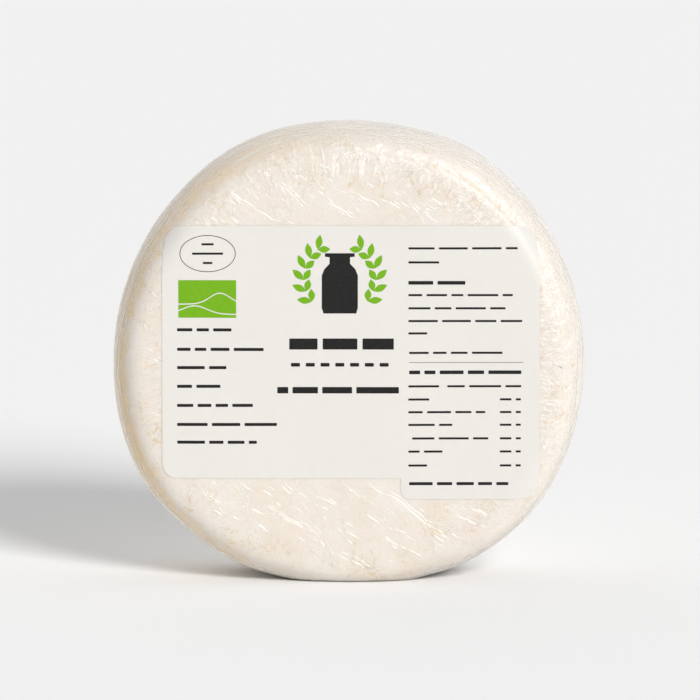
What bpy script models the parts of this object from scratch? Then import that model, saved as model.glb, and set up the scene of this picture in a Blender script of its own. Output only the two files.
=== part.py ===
"""A soft white-rind cheese wheel in tight clear film, standing on its rim, with one paper label on its front.

Metres, +Z up. The label faces -Y. The origin is on the surface the wheel stands on, under its middle.
"""

import math
from collections import namedtuple

import bmesh
import bpy
from mathutils import Vector, noise

# The wheel
GIRTH_DIAMETER = 0.110
THICKNESS = 0.035
SHOULDER_WIDTH = 0.008  # from the flat of a face out to the rim
SHOULDER_POWER = 2.6  # 2 is a round shoulder, and a higher power is a squarer one
FACE_CROWN = 0.0004
CENTRE_HEIGHT = 0.0516  # less than the radius, because the soft wheel has settled onto a flat foot

# Where the wheel has slumped out of round: degrees from +X towards +Z, share of the radius, spread in degrees
Slump = namedtuple("Slump", "angle share spread")
SLUMPS = (
    Slump(38, 0.007, 10),
    Slump(58, 0.019, 13),
    Slump(118, 0.0125, 17),
    Slump(213, 0.026, 25),
    Slump(270, -0.012, 26),
    Slump(320, 0.026, 25),
)

# Low lumps that show on both faces
LUMP_HEIGHT = 0.00025
LUMP_SPACING = 0.020

# The label, which is cut flat and then pressed over the front. Its tab hangs at the lower right.
LABEL_WIDTH = 0.0882
LABEL_HEIGHT = 0.0596
LABEL_MIDDLE = (0.0004, 0.0031)  # of the main panel, right of and above the wheel's middle
TAB_WIDTH = 0.0324
TAB_DROP = 0.0049
LABEL_CORNER = 0.0035
TAB_CORNER = 0.0019
INNER_CORNER = 0.0004
PAPER_THICKNESS = 0.0003
PAPER_GAP = 0.0004

# How finely the shapes are cut
TURNS = 96
FACE_RINGS = 8
SHOULDER_RINGS = 8
LABEL_CELL = 0.0028
CORNER_STEPS = 5

RADIUS = GIRTH_DIAMETER / 2
HALF_THICKNESS = THICKNESS / 2
FLAT_RADIUS = RADIUS - SHOULDER_WIDTH
SAME_POINT = 1e-7


def clear_scene():
    for obj in list(bpy.data.objects):
        bpy.data.objects.remove(obj)


def material(name, colour, roughness, coat=0.0):
    made = bpy.data.materials.new(name)
    made.use_nodes = True
    shader = made.node_tree.nodes["Principled BSDF"]
    shader.inputs["Base Color"].default_value = (*colour, 1.0)
    shader.inputs["Roughness"].default_value = roughness
    shader.inputs["Metallic"].default_value = 0.0
    shader.inputs["Coat Weight"].default_value = coat
    return made


def half_section():
    """The section of a true round wheel from the middle of a face to the rim, as (reach, depth) pairs.

    Reach is the distance from the axle, and depth is the distance from the plane halfway through the wheel.
    """
    face = [(FLAT_RADIUS * ring / FACE_RINGS, HALF_THICKNESS) for ring in range(FACE_RINGS)]
    shoulder = []
    for ring in range(SHOULDER_RINGS + 1):
        lean = math.radians(90) * ring / SHOULDER_RINGS
        out = math.sin(lean) ** (2 / SHOULDER_POWER)
        deep = max(math.cos(lean), 0.0) ** (2 / SHOULDER_POWER)
        shoulder.append((FLAT_RADIUS + SHOULDER_WIDTH * out, HALF_THICKNESS * deep))
    shoulder[-1] = (RADIUS, 0.0)
    return face + shoulder


def along_section(length):
    """The (reach, depth) of the point this far along the half section, starting at the middle of the face."""
    section = half_section()
    for (reach, depth), (next_reach, next_depth) in zip(section, section[1:]):
        step = math.hypot(next_reach - reach, next_depth - depth)
        if length <= step:
            share = length / step
            return reach + (next_reach - reach) * share, depth + (next_depth - depth) * share
        length -= step
    return section[-1]


def out_of_round(angle):
    """How far the rim stands at this angle, as a share of the true radius."""
    share = 1.0
    for slump in SLUMPS:
        away = (math.degrees(angle) - slump.angle + 180) % 360 - 180
        share += slump.share * math.exp(-((away / slump.spread) ** 2))
    return share


def slumped(reach, depth, angle):
    """Where the soft, lumpy wheel has the point that a true wheel has here. A positive depth is on the front."""
    x = reach * out_of_round(angle) * math.cos(angle)
    z = reach * out_of_round(angle) * math.sin(angle)
    crown = FACE_CROWN * max(0.0, 1 - (reach / FLAT_RADIUS) ** 2)
    lump = LUMP_HEIGHT * noise.noise(Vector((x, depth, z)) / LUMP_SPACING)
    faceward = depth / HALF_THICKNESS
    return Vector((x, -depth - (crown + lump) * faceward, max(z, -CENTRE_HEIGHT)))


def make_wheel():
    """Turns the section round the axle, then lets the wheel slump and flattens its foot."""
    front = half_section()
    back = [(reach, -depth) for reach, depth in reversed(front[:-1])]
    bm = bmesh.new()
    points = [bm.verts.new((reach, -depth, 0.0)) for reach, depth in front + back]
    edges = [bm.edges.new(pair) for pair in zip(points, points[1:])]
    bmesh.ops.spin(
        bm, geom=points + edges, cent=(0, 0, 0), axis=(0, 1, 0), angle=math.radians(360), steps=TURNS
    )
    bmesh.ops.remove_doubles(bm, verts=bm.verts, dist=SAME_POINT)
    for vert in bm.verts:
        x, y, z = vert.co
        vert.co = slumped(math.hypot(x, z), -y, math.atan2(z, x))
    bmesh.ops.recalc_face_normals(bm, faces=bm.faces)
    mesh = bpy.data.meshes.new("wrapped_cheese")
    bm.to_mesh(mesh)
    bm.free()
    mesh.shade_smooth()
    mesh.materials.append(material("white rind under film", (0.88, 0.80, 0.69), 0.35, coat=0.6))
    return bpy.data.objects.new("wrapped_cheese", mesh)


def rounded(corners):
    """The outline through (point, radius) corners, with an arc of that radius at each square corner."""
    outline = []
    for index, (corner, radius) in enumerate(corners):
        back = (corners[index - 1][0] - corner).normalized()
        ahead = (corners[(index + 1) % len(corners)][0] - corner).normalized()
        middle = corner + (back + ahead) * radius
        for step in range(CORNER_STEPS + 1):
            turn = math.radians(90) * step / CORNER_STEPS
            outline.append(middle - ahead * radius * math.cos(turn) - back * radius * math.sin(turn))
    return outline


def label_outline():
    """The flat label's outline about the wheel's middle, as seen from the front, counterclockwise from top left."""
    middle_x, middle_z = LABEL_MIDDLE
    left, right = middle_x - LABEL_WIDTH / 2, middle_x + LABEL_WIDTH / 2
    top, bottom = middle_z + LABEL_HEIGHT / 2, middle_z - LABEL_HEIGHT / 2
    tab_left, tab_bottom = right - TAB_WIDTH, bottom - TAB_DROP
    return rounded(
        [
            (Vector((left, 0, top)), LABEL_CORNER),
            (Vector((left, 0, bottom)), LABEL_CORNER),
            (Vector((tab_left, 0, bottom)), INNER_CORNER),
            (Vector((tab_left, 0, tab_bottom)), TAB_CORNER),
            (Vector((right, 0, tab_bottom)), LABEL_CORNER),
            (Vector((right, 0, top)), LABEL_CORNER),
        ]
    )


def cut_into_cells(bm, outline):
    """Cuts the flat face along evenly spaced lines, so that it can bend."""
    for axis in (0, 2):
        low, high = min(point[axis] for point in outline), max(point[axis] for point in outline)
        for line in range(1, math.ceil((high - low) / LABEL_CELL)):
            place = Vector((0, 0, 0))
            place[axis] = low + line * LABEL_CELL
            across = Vector((0, 0, 0))
            across[axis] = 1
            geom = list(bm.verts) + list(bm.edges) + list(bm.faces)
            bmesh.ops.bisect_plane(bm, geom=geom, dist=SAME_POINT, plane_co=place, plane_no=across)


def make_label():
    """Cuts the label flat and presses it over the front of the wheel, down over the shoulder at its corners."""
    outline = label_outline()
    bm = bmesh.new()
    bm.faces.new([bm.verts.new(point) for point in outline])
    cut_into_cells(bm, outline)
    bmesh.ops.triangulate(bm, faces=bm.faces)
    for vert in bm.verts:
        x, _, z = vert.co
        angle = math.atan2(z, x)
        reach, depth = along_section(math.hypot(x, z) / out_of_round(angle))
        vert.co = slumped(reach, depth, angle)
    bm.normal_update()
    if sum(face.normal.y for face in bm.faces) > 0:
        bmesh.ops.reverse_faces(bm, faces=bm.faces)
    mesh = bpy.data.meshes.new("label")
    bm.to_mesh(mesh)
    bm.free()
    mesh.materials.append(material("label paper", (0.84, 0.82, 0.79), 0.5))
    label = bpy.data.objects.new("label", mesh)
    lift = label.modifiers.new("lift off the film", "DISPLACE")
    lift.strength = PAPER_GAP
    lift.mid_level = 0.0
    paper = label.modifiers.new("paper thickness", "SOLIDIFY")
    paper.thickness = PAPER_THICKNESS
    paper.offset = 1.0
    return label


def main():
    clear_scene()
    middle = bpy.data.objects.new("wheel_middle", None)
    middle.location = (0.0, (PAPER_GAP + PAPER_THICKNESS) / 2, CENTRE_HEIGHT)
    bpy.context.scene.collection.objects.link(middle)
    for piece in (make_wheel(), make_label()):
        piece.parent = middle
        bpy.context.scene.collection.objects.link(piece)


main()
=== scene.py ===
# %% [markdown]
# This lesson dresses a plain CAD model of a camembert. The real thing is one soft wheel with a white mould
# rind. Thin clear film is stretched tight round it, and a printed paper label is pressed over its front.
# The CAD model gives the size and the place of everything, so it is loaded first and is never changed.

# %% Load the frame
import math
import random
from collections import namedtuple

import bmesh
import bpy
import numpy as np
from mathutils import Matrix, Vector, noise
from mathutils.bvhtree import BVHTree


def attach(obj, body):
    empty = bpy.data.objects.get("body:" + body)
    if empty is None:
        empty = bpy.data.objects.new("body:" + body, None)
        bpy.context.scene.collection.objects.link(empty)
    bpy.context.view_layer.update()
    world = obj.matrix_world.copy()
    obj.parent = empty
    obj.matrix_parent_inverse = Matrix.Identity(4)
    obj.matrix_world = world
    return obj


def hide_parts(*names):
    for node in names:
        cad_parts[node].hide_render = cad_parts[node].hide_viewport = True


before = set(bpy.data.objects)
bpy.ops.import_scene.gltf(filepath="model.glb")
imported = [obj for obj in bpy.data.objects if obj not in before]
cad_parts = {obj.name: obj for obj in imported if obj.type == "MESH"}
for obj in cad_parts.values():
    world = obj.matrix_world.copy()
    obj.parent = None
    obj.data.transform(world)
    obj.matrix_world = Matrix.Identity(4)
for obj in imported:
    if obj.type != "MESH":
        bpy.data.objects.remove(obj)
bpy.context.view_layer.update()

MM = 0.001

# %% [markdown]
# The camera comes early, because every finish is judged through it. The wheel was seen straight from the
# front and a little from above, by a long lens from well back: its edges hardly converge. The lens follows
# from the distance and from how much of the world the picture takes in.

# %% Set up the camera
WHEEL_MIDDLE = Vector((0.0, 0.35, 51.6)) * MM
CAMERA_ELEVATION = math.radians(8)
CAMERA_DISTANCE = 4.0
PICTURE_WIDTH = 164.2 * MM
SENSOR_WIDTH = 36.0
PICTURE_MIDDLE = Vector((0.18, 1.17)) * MM  # right of and above the wheel's middle, as the picture shows it

backwards = Vector((0, -math.cos(CAMERA_ELEVATION), math.sin(CAMERA_ELEVATION)))
upwards = Vector((0, math.sin(CAMERA_ELEVATION), math.cos(CAMERA_ELEVATION)))
looked_at = WHEEL_MIDDLE + Vector((PICTURE_MIDDLE.x, 0, 0)) + upwards * PICTURE_MIDDLE.y
camera = bpy.data.objects.new("camera", bpy.data.cameras.new("camera"))
bpy.context.scene.collection.objects.link(camera)
camera.location = looked_at + backwards * CAMERA_DISTANCE
camera.rotation_euler = (math.radians(90) - CAMERA_ELEVATION, 0, 0)
camera.data.sensor_width = SENSOR_WIDTH
camera.data.lens = SENSOR_WIDTH * CAMERA_DISTANCE / PICTURE_WIDTH
camera.data.clip_end = 100
bpy.context.scene.camera = camera
print("lens in mm:", round(camera.data.lens))

# %% [markdown]
# Every colour below is an sRGB hex value, as a colour picker shows it. The renderer works in linear light,
# so one function turns them. A second one adds a shader node, sets its options and joins its inputs, which
# keeps each material readable as a list of what it is made of.

# %% Colours and nodes
def linear(hex_colour):
    """The linear RGBA colour of an sRGB hex value."""
    levels = [int(hex_colour[at:at + 2], 16) / 255 for at in (0, 2, 4)]
    lit = [level / 12.92 if level <= 0.04045 else ((level + 0.055) / 1.055) ** 2.4 for level in levels]
    return lit + [1.0]


def add(tree, kind, inputs=(), **settings):
    """Adds a node. Settings are its options. Inputs are {socket: a value, an output, or a node to join}."""
    node = tree.nodes.new("ShaderNode" + kind)
    for name, value in settings.items():
        setattr(node, name, value)
    for socket, value in dict(inputs).items():
        if isinstance(value, bpy.types.Node):
            value = next(output for output in value.outputs if output.enabled)
        if isinstance(value, bpy.types.NodeSocket):
            tree.links.new(value, node.inputs[socket])
        else:
            node.inputs[socket].default_value = value
    return node


def empty_material(name):
    """A new material with no nodes in it but the output."""
    made = bpy.data.materials.new(name)
    made.use_nodes = True
    made.node_tree.nodes.clear()
    return made, made.node_tree


# The sockets of the Mix node when it mixes colours
FACTOR, COLOUR_A, COLOUR_B = 0, 6, 7

# %% [markdown]
# The light is a plain soft studio: one broad lamp in front, to the right and above, in a white room. The
# lamp gives the long soft shadow at the left, and its reflection is what makes the film sparkle. The room
# is darker on the side of the camera and brighter behind the wheel, where the white board curves up, and a
# little brighter overhead and on the left. The rim and the shoulders are lit by that, much more than the
# front is.

# %% Light the studio
KEY_DIRECTION = Vector((0.9, -1.65, 1.0)).normalized()  # from the wheel towards the lamp
KEY_STRENGTH = 2.7
KEY_SPREAD = math.radians(20)
ROOM_LEVEL = 0.50
ROOM_SLOPE = (-0.12, 0.50, 0.03)  # how much brighter it gets to the right, to the back and overhead

key = bpy.data.objects.new("key", bpy.data.lights.new("key", "SUN"))
bpy.context.scene.collection.objects.link(key)
key.data.energy = KEY_STRENGTH
key.data.angle = KEY_SPREAD
key.rotation_mode = "QUATERNION"
key.rotation_quaternion = KEY_DIRECTION.to_track_quat("Z", "Y")

world = bpy.data.worlds.new("white room")
bpy.context.scene.world = world
world.use_nodes = True
world.node_tree.nodes.clear()
sky = world.node_tree
direction = add(sky, "TexCoord").outputs["Generated"]
sloped = add(sky, "VectorMath", {0: direction, 1: ROOM_SLOPE}, operation="DOT_PRODUCT")
level = add(sky, "Math", {0: sloped, 1: ROOM_LEVEL}, operation="ADD")
glow = add(sky, "Background", {"Color": linear("ffffff"), "Strength": level})
add(sky, "OutputWorld", {"Surface": glow})
bpy.context.scene.view_settings.view_transform = "Standard"
print("key light direction:", [round(part, 2) for part in KEY_DIRECTION])

# %% [markdown]
# The floor is a sheet of matt white board, large enough that its far edge is never in the picture. It
# belongs to the studio, not to the object.

# %% Lay the floor
FLOOR_SIZE = 24.0


def deselect():
    """Leaves edit mode and deselects everything, so that the next operator acts on nothing else."""
    if bpy.context.object and bpy.context.object.mode != "OBJECT":
        bpy.ops.object.mode_set(mode="OBJECT")
    bpy.ops.object.select_all(action="DESELECT")


deselect()
bpy.ops.mesh.primitive_plane_add(size=FLOOR_SIZE, location=(0, 0, 0))
floor = bpy.context.object
floor.name = "floor"
board, tree = empty_material("matt white board")
grain = add(tree, "TexNoise", {"Vector": add(tree, "TexCoord").outputs["Object"], "Scale": 600.0})
tone = add(
    tree, "Mix", {FACTOR: grain, COLOUR_A: linear("f9f9f9"), COLOUR_B: linear("fafafa")}, data_type="RGBA"
)
matt = add(tree, "BsdfPrincipled", {"Base Color": tone, "Roughness": 0.9, "Specular IOR Level": 0.0})
add(tree, "OutputMaterial", {"Surface": matt})
floor.data.materials.append(board)
print("floor:", FLOOR_SIZE, "m across")

# %% [markdown]
# The wheel was cast round in a mould, so it starts as a turned shape: half its section, from the middle of
# the front to the rim, is a flat and then a squarish shoulder. The section is kept as points at even steps
# along the surface, because everything that lies on the wheel is placed by how far along the surface it is.

# %% Draw the section
RADIUS = 55.0 * MM
HALF_THICKNESS = 17.5 * MM
SHOULDER_WIDTH = 8.0 * MM
SHOULDER_POWER = 2.6  # 2 is a round shoulder, and a higher power is a squarer one
FLAT_RADIUS = RADIUS - SHOULDER_WIDTH
SECTION_STEPS = 600

leans = np.linspace(0, math.pi / 2, SECTION_STEPS)
out_at_lean = FLAT_RADIUS + SHOULDER_WIDTH * np.sin(leans) ** (2 / SHOULDER_POWER)
deep_at_lean = HALF_THICKNESS * np.clip(np.cos(leans), 0, 1) ** (2 / SHOULDER_POWER)
front_reach = np.concatenate([[0.0], out_at_lean])
front_depth = np.concatenate([[HALF_THICKNESS], deep_at_lean])
front_depth[-1] = 0.0
SECTION_REACH = np.concatenate([front_reach, front_reach[-2::-1]])
SECTION_DEPTH = np.concatenate([front_depth, -front_depth[-2::-1]])
steps_along = np.hypot(np.diff(SECTION_REACH), np.diff(SECTION_DEPTH))
SECTION_LENGTH = np.concatenate([[0.0], np.cumsum(steps_along)])
RIM = SECTION_LENGTH[-1] / 2  # how far along the surface the middle of the rim is
print("along the surface from the front's middle to the rim:", round(RIM / MM, 1), "mm")

# %% [markdown]
# A soft wheel that stands on its rim slumps: it spreads low down on both sides, settles onto a flat foot,
# and its faces get low lumps. These are the same slumps that the CAD solid has, so the dressed wheel fits
# it. Three small tucks beside the foot are added, where the film pulls the soft edge in by half a
# millimetre at most.

# %% Let the wheel slump
# Where it is out of round: degrees from +X towards +Z, share of the radius, spread in degrees
SLUMPS = (
    (38, 0.007, 10), (58, 0.019, 13), (118, 0.0125, 17),
    (213, 0.026, 25), (270, -0.012, 26), (320, 0.026, 25),
)
TUCKS = ((226, -0.009, 9), (251, -0.007, 6), (290, -0.005, 5))
FACE_CROWN = 0.4 * MM
LUMP_HEIGHT = 0.25 * MM
LUMP_SPACING = 20 * MM


def out_of_round(angle):
    """How far the rim stands at this angle, as a share of the true radius."""
    share = 1.0
    for middle, bulge, spread in SLUMPS + TUCKS:
        away = (math.degrees(angle) - middle + 180) % 360 - 180
        share += bulge * math.exp(-((away / spread) ** 2))
    return share


def slumped(reach, depth, angle):
    """Where the soft wheel has the point that a true wheel has here, from the wheel's middle."""
    x = reach * out_of_round(angle) * math.cos(angle)
    z = reach * out_of_round(angle) * math.sin(angle)
    crown = FACE_CROWN * max(0.0, 1 - (reach / FLAT_RADIUS) ** 2)
    lump = LUMP_HEIGHT * noise.noise(Vector((x, depth, z)) / LUMP_SPACING)
    return Vector((x, -depth - (crown + lump) * depth / HALF_THICKNESS, z))


def at_length(along):
    """The (reach, depth) of the point this far along the section from the middle of the front."""
    return (
        float(np.interp(along, SECTION_LENGTH, SECTION_REACH)),
        float(np.interp(along, SECTION_LENGTH, SECTION_DEPTH)),
    )


print("slumped rim at the lower left, in mm:", round(RADIUS * out_of_round(math.radians(213)) / MM, 2))

# %% [markdown]
# A turned shape is made as on a lathe. One vertex is extruded again and again until it has drawn the
# section, and the section is then spun round the axle. The two ends on the axle and the seam are merged, so
# the shape is closed.

# %% Turn a section into a wheel
SAME_POINT = 0.001 * MM
FOOT_CLEARANCE = 0.02 * MM
FOOT_ROUND = 0.2 * MM


def turned(name, lengths, turns):
    """A closed wheel whose section has a point at each of these lengths along the surface."""
    points = [Vector((reach, -depth, 0)) for reach, depth in map(at_length, lengths)]
    deselect()
    bpy.ops.mesh.primitive_plane_add(size=MM)
    made = bpy.context.object
    made.name = made.data.name = name
    bpy.ops.object.mode_set(mode="EDIT")
    bpy.ops.mesh.select_all(action="SELECT")
    bpy.ops.mesh.merge(type="CENTER")
    bpy.ops.transform.translate(value=points[0])
    for point, after in zip(points, points[1:]):
        bpy.ops.mesh.extrude_vertices_move(TRANSFORM_OT_translate={"value": after - point})
    bpy.ops.mesh.select_all(action="SELECT")
    bpy.ops.mesh.spin(steps=turns, angle=math.radians(360), center=(0, 0, 0), axis=(0, 1, 0))
    bpy.ops.mesh.select_all(action="SELECT")
    bpy.ops.mesh.remove_doubles(threshold=SAME_POINT)
    bpy.ops.mesh.normals_make_consistent(inside=False)
    bpy.ops.object.mode_set(mode="OBJECT")
    bpy.ops.object.shade_smooth()
    return made


def lengths_between(start, end, spacing):
    """Even steps from start up to, but not at, end."""
    return list(np.arange(start, end - spacing / 2, spacing))


def section_order(reach, depth):
    """A number that grows all the way along the section, from the front's middle to the back's."""
    return np.where(depth > 0, reach, 2 * RADIUS - reach) - depth


def surface_places(mesh):
    """For each vertex of a turned wheel: the angle round the axle and the length along the section."""
    points = np.empty(len(mesh.vertices) * 3)
    mesh.vertices.foreach_get("co", points)
    x, y, z = points.reshape(-1, 3).T
    order = section_order(np.hypot(x, z), -y)
    return np.arctan2(z, x), np.interp(order, section_order(SECTION_REACH, SECTION_DEPTH), SECTION_LENGTH)


def fade(value, start, end):
    """0 before start, 1 after end and a soft step between them. With start past end it fades out instead."""
    share = min(max((value - start) / (end - start), 0.0), 1.0)
    return share * share * (3 - 2 * share)


def ridge(place, width):
    """1 along the winding lines where the noise is zero, falling to 0 at that width either side of them."""
    return max(0.0, 1 - abs(noise.noise(place)) / width) ** 1.5


def foot_height(y):
    """How high the underside stays here: the foot is flat in its middle and rounds up in front and behind."""
    return FOOT_CLEARANCE + FOOT_ROUND * fade(abs(y - WHEEL_MIDDLE.y), 4 * MM, 15 * MM)


def set_shape(piece, stands, foot_gap=0.0):
    """Slumps a turned wheel and moves each vertex outwards by stands(angle, along, its place)."""
    mesh = piece.data
    angles, lengths = surface_places(mesh)
    section = [at_length(along) for along in lengths]
    moved = [slumped(reach, depth, angle) for (reach, depth), angle in zip(section, angles)]
    mesh.vertices.foreach_set("co", [part for place in moved for part in place])
    mesh.update()
    normals = [vert.normal.copy() for vert in mesh.vertices]
    around = mesh.attributes.new("around", "FLOAT_VECTOR", "POINT")
    places = []
    for place, normal, angle, along, vert in zip(moved, normals, angles, lengths, mesh.vertices):
        height = stands(angle, along, place)
        there = WHEEL_MIDDLE + place + normal * height
        there.z = max(there.z, foot_height(there.y) + foot_gap)
        vert.co = there
        places += [RADIUS * math.cos(angle), RADIUS * math.sin(angle), along]
    around.data.foreach_set("vector", places)
    mesh.update()


print("the foot stands", FOOT_CLEARANCE / MM, "mm clear of the floor")

# %% [markdown]
# The cheese itself lies a little inside the film. Its surface isn't smooth: the mould rind has settled into
# low dimples, and the rack it ripened on has left a faint unevenness. The wheel is turned at 1 mm steps,
# which is fine enough for that, and the felt of the mould is left to the material.

# %% Model the cheese wheel
CHEESE_INSET = 0.18 * MM
CHEESE_STEP = 1.0 * MM
CHEESE_TURNS = 280
DIMPLE_SPACING = 4.5 * MM
DIMPLE_DEPTH = 0.12 * MM


def rind_stands(angle, along, place):
    """How far the rind stands out from the CAD solid's surface, which is always inwards of it."""
    dimples = 0.67 * noise.noise(place / DIMPLE_SPACING) + 0.33 * noise.noise(place / (DIMPLE_SPACING * 0.4))
    return -CHEESE_INSET - DIMPLE_DEPTH * (0.5 + 0.5 * dimples)


cheese = turned("cheese_wheel", lengths_between(0, 2 * RIM, CHEESE_STEP) + [2 * RIM], CHEESE_TURNS)
set_shape(cheese, rind_stands, foot_gap=0.1 * MM)
print("cheese:", len(cheese.data.polygons), "faces")

# %% [markdown]
# A ripe rind is a felt of white mould over a pale paste. It is matt and lets a little light into it, so it
# looks soft. Where the felt is thin, the paste shows as cream patches, and where it was rubbed or has begun
# to ripen there are small golden flecks and short broken squiggles. They crowd along the edge of the faces,
# where the wheel was handled, so one mask follows the distance from the axle. The wall's tone is painted:
# tan towards the left, which is partly its own tan and partly painted shade away from the lamp, and pale on
# the right, which is painted light where the lamp falls. Its tone starts along a tattered line.

# %% Finish the cheese with its rind
RIND_WHITE = linear("e6dfd7")
RIND_CREAM = linear("e3d9cd")
RIND_GOLD = linear("c8a03c")
# The wall's tan is partly its own colour and partly painted shade on the left, and its pale is painted light
# on the right, where the lamp falls.
WALL_TAN_AND_PAINTED_SHADE = linear("e9d2ab")
WALL_PALE_AND_PAINTED_LIGHT = linear("ede5dc")
PATCH_SIZE = 11 * MM
CLUSTER_SIZE = 6 * MM
FLECK_SIZE = 0.42 * MM
SQUIGGLE_CELL = 2.3 * MM
FELT_SIZE = 0.35 * MM
TATTER_SIZE, TATTER_REACH = 3.5 * MM, 6 * MM
WANDER_SIZE, WANDER_REACH = 1.4 * MM, 2.0 * MM
BREAK_SIZE = 1.7 * MM

rind, tree = empty_material("white mould rind over soft paste")
place = add(tree, "TexCoord").outputs["Object"]
from_axle = add(tree, "VectorMath", {0: place, 1: WHEEL_MIDDLE}, operation="SUBTRACT")
in_plane = add(tree, "VectorMath", {0: from_axle, 1: (1, 0, 1)}, operation="MULTIPLY")
reach = add(tree, "VectorMath", {0: in_plane}, operation="LENGTH")
edge_in = add(tree, "MapRange", {0: reach, 1: 37 * MM, 2: 45 * MM}, interpolation_type="SMOOTHSTEP")
edge_out = add(tree, "MapRange", {0: reach, 1: 52 * MM, 2: 54.5 * MM, 3: 1.0, 4: 0.3})
edge = add(tree, "Math", {0: edge_in, 1: edge_out}, operation="MULTIPLY")

patches = add(tree, "TexNoise", {"Vector": place, "Scale": 1 / PATCH_SIZE, "Detail": 5.0, "Roughness": 0.65})
patchy = add(tree, "MapRange", {0: patches, 1: 0.36, 2: 0.62})
ground = add(tree, "Mix", {FACTOR: patchy, COLOUR_A: RIND_WHITE, COLOUR_B: RIND_CREAM}, data_type="RGBA")
tatters = add(tree, "TexNoise", {"Vector": place, "Scale": 1 / TATTER_SIZE, "Detail": 4.0, "Roughness": 0.6})
tattered = add(tree, "Math", {0: tatters, 1: TATTER_REACH, 2: reach}, operation="MULTIPLY_ADD")
wall = add(tree, "MapRange", {0: tattered, 1: 54.2 * MM, 2: 56.2 * MM})
across = add(tree, "SeparateXYZ", {0: place}).outputs["X"]
# Painted shade and light: the wall goes tan towards the left, away from the lamp, and pale towards the right,
# where the lamp falls.
painted_shade_left = add(tree, "MapRange", {0: across, 1: -50 * MM, 2: 4 * MM, 3: 1.0, 4: 0.0})
wall_tone_and_painted_shade = add(tree, "Mix", {FACTOR: painted_shade_left, COLOUR_A: WALL_PALE_AND_PAINTED_LIGHT, COLOUR_B: WALL_TAN_AND_PAINTED_SHADE}, data_type="RGBA")
walled = add(tree, "Mix", {FACTOR: wall, COLOUR_A: ground, COLOUR_B: wall_tone_and_painted_shade}, data_type="RGBA")

clusters = add(
    tree, "TexNoise", {"Vector": place, "Scale": 1 / CLUSTER_SIZE, "Detail": 3.0, "Roughness": 0.6}
)
crowd = add(tree, "MapRange", {0: clusters, 1: 0.47, 2: 0.60})
edge_share = add(tree, "MapRange", {0: edge, 3: 0.3, 4: 1.0})
crowded = add(tree, "Math", {0: crowd, 1: edge_share}, operation="MULTIPLY")

flecks = add(tree, "TexNoise", {"Vector": place, "Scale": 1 / FLECK_SIZE, "Detail": 3.0, "Roughness": 0.7})
fleck = add(tree, "MapRange", {0: flecks, 1: 0.57, 2: 0.61})
fleck_share = add(tree, "Math", {0: fleck, 1: crowded}, operation="MULTIPLY")

wander = add(tree, "TexNoise", {"Vector": place, "Scale": 1 / WANDER_SIZE, "Detail": 3.0})
wandering = add(tree, "VectorMath", {0: wander.outputs["Color"], "Scale": WANDER_REACH}, operation="SCALE")
bent = add(tree, "VectorMath", {0: place, 1: wandering}, operation="ADD")
cells = add(tree, "TexVoronoi", {"Vector": bent, "Scale": 1 / SQUIGGLE_CELL}, feature="DISTANCE_TO_EDGE")
squiggle = add(tree, "MapRange", {0: cells.outputs["Distance"], 1: 0.0, 2: 0.07, 3: 1.0, 4: 0.0})
breaks = add(tree, "TexNoise", {"Vector": place, "Scale": 1 / BREAK_SIZE, "Detail": 2.0})
broken = add(tree, "MapRange", {0: breaks, 1: 0.50, 2: 0.56})
broken_squiggle = add(tree, "Math", {0: squiggle, 1: broken}, operation="MULTIPLY")
squiggle_share = add(tree, "Math", {0: broken_squiggle, 1: crowded}, operation="MULTIPLY")
golden = add(tree, "Math", {0: fleck_share, 1: squiggle_share}, operation="MAXIMUM")
golden_part = add(tree, "Math", {0: golden, 1: 0.55}, operation="MULTIPLY")
flecked = add(tree, "Mix", {FACTOR: golden_part, COLOUR_A: walled, COLOUR_B: RIND_GOLD}, data_type="RGBA")

felt = add(tree, "TexNoise", {"Vector": place, "Scale": 1 / FELT_SIZE, "Detail": 4.0})
nap = add(tree, "Bump", {"Height": felt, "Distance": 0.05 * MM, "Strength": 0.5})
soft = add(
    tree,
    "BsdfPrincipled",
    {
        "Base Color": flecked,
        "Roughness": 0.85,
        "Specular IOR Level": 0.25,
        "Subsurface Weight": 0.25,
        "Subsurface Radius": (1.0, 0.85, 0.65),
        "Subsurface Scale": 1.0 * MM,
        "Normal": nap,
    },
)
add(tree, "OutputMaterial", {"Surface": soft})
cheese.data.materials.append(rind)
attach(cheese, "root")
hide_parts("wrapped_cheese")
print("rind: felt at", FELT_SIZE / MM, "mm, flecks at", FLECK_SIZE / MM, "mm")

# %% [markdown]
# The film is pulled tight over the wheel and gathered at the back. Over a flat face it lies nearly smooth,
# and under the label it is pressed quite flat. At the shoulder it has too much cloth for the smaller
# circle, so it puckers into short pleats. Round the wall it is stretched along the rim, which draws it into
# many fine ridges side by side. It is turned like the cheese, with the finest steps where the ridges run.

# %% Model the film
FILM_TURNS = 360
FILM_LIFT = -0.16 * MM
WALL_FROM = 24.5 * MM  # either side of the rim's middle
FACE_STEP = 1.5 * MM
WALL_STEP = 0.36 * MM
BACK_STEP = 1.1 * MM
# The label's outline in the flat, right of and above the wheel's middle. Its tab hangs at the lower right.
LABEL_LEFT, LABEL_RIGHT = -43.7 * MM, 44.5 * MM
LABEL_TOP, LABEL_BOTTOM = 32.9 * MM, -26.7 * MM
TAB_LEFT = 12.1 * MM
TAB_BOTTOM = -31.6 * MM
PRESSED_MARGIN = 0.3 * MM
RIDGE_HEIGHT, CORD_HEIGHT = 0.09 * MM, 0.11 * MM  # along the rim, on the wall
PLEAT_HEIGHT, GATHER_HEIGHT = 0.16 * MM, 0.45 * MM  # at the shoulder and at the back
SLACK_HEIGHT, PULL_HEIGHT = 0.02 * MM, 0.03 * MM  # on the faces
PULL_LEAN = math.radians(50)


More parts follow.
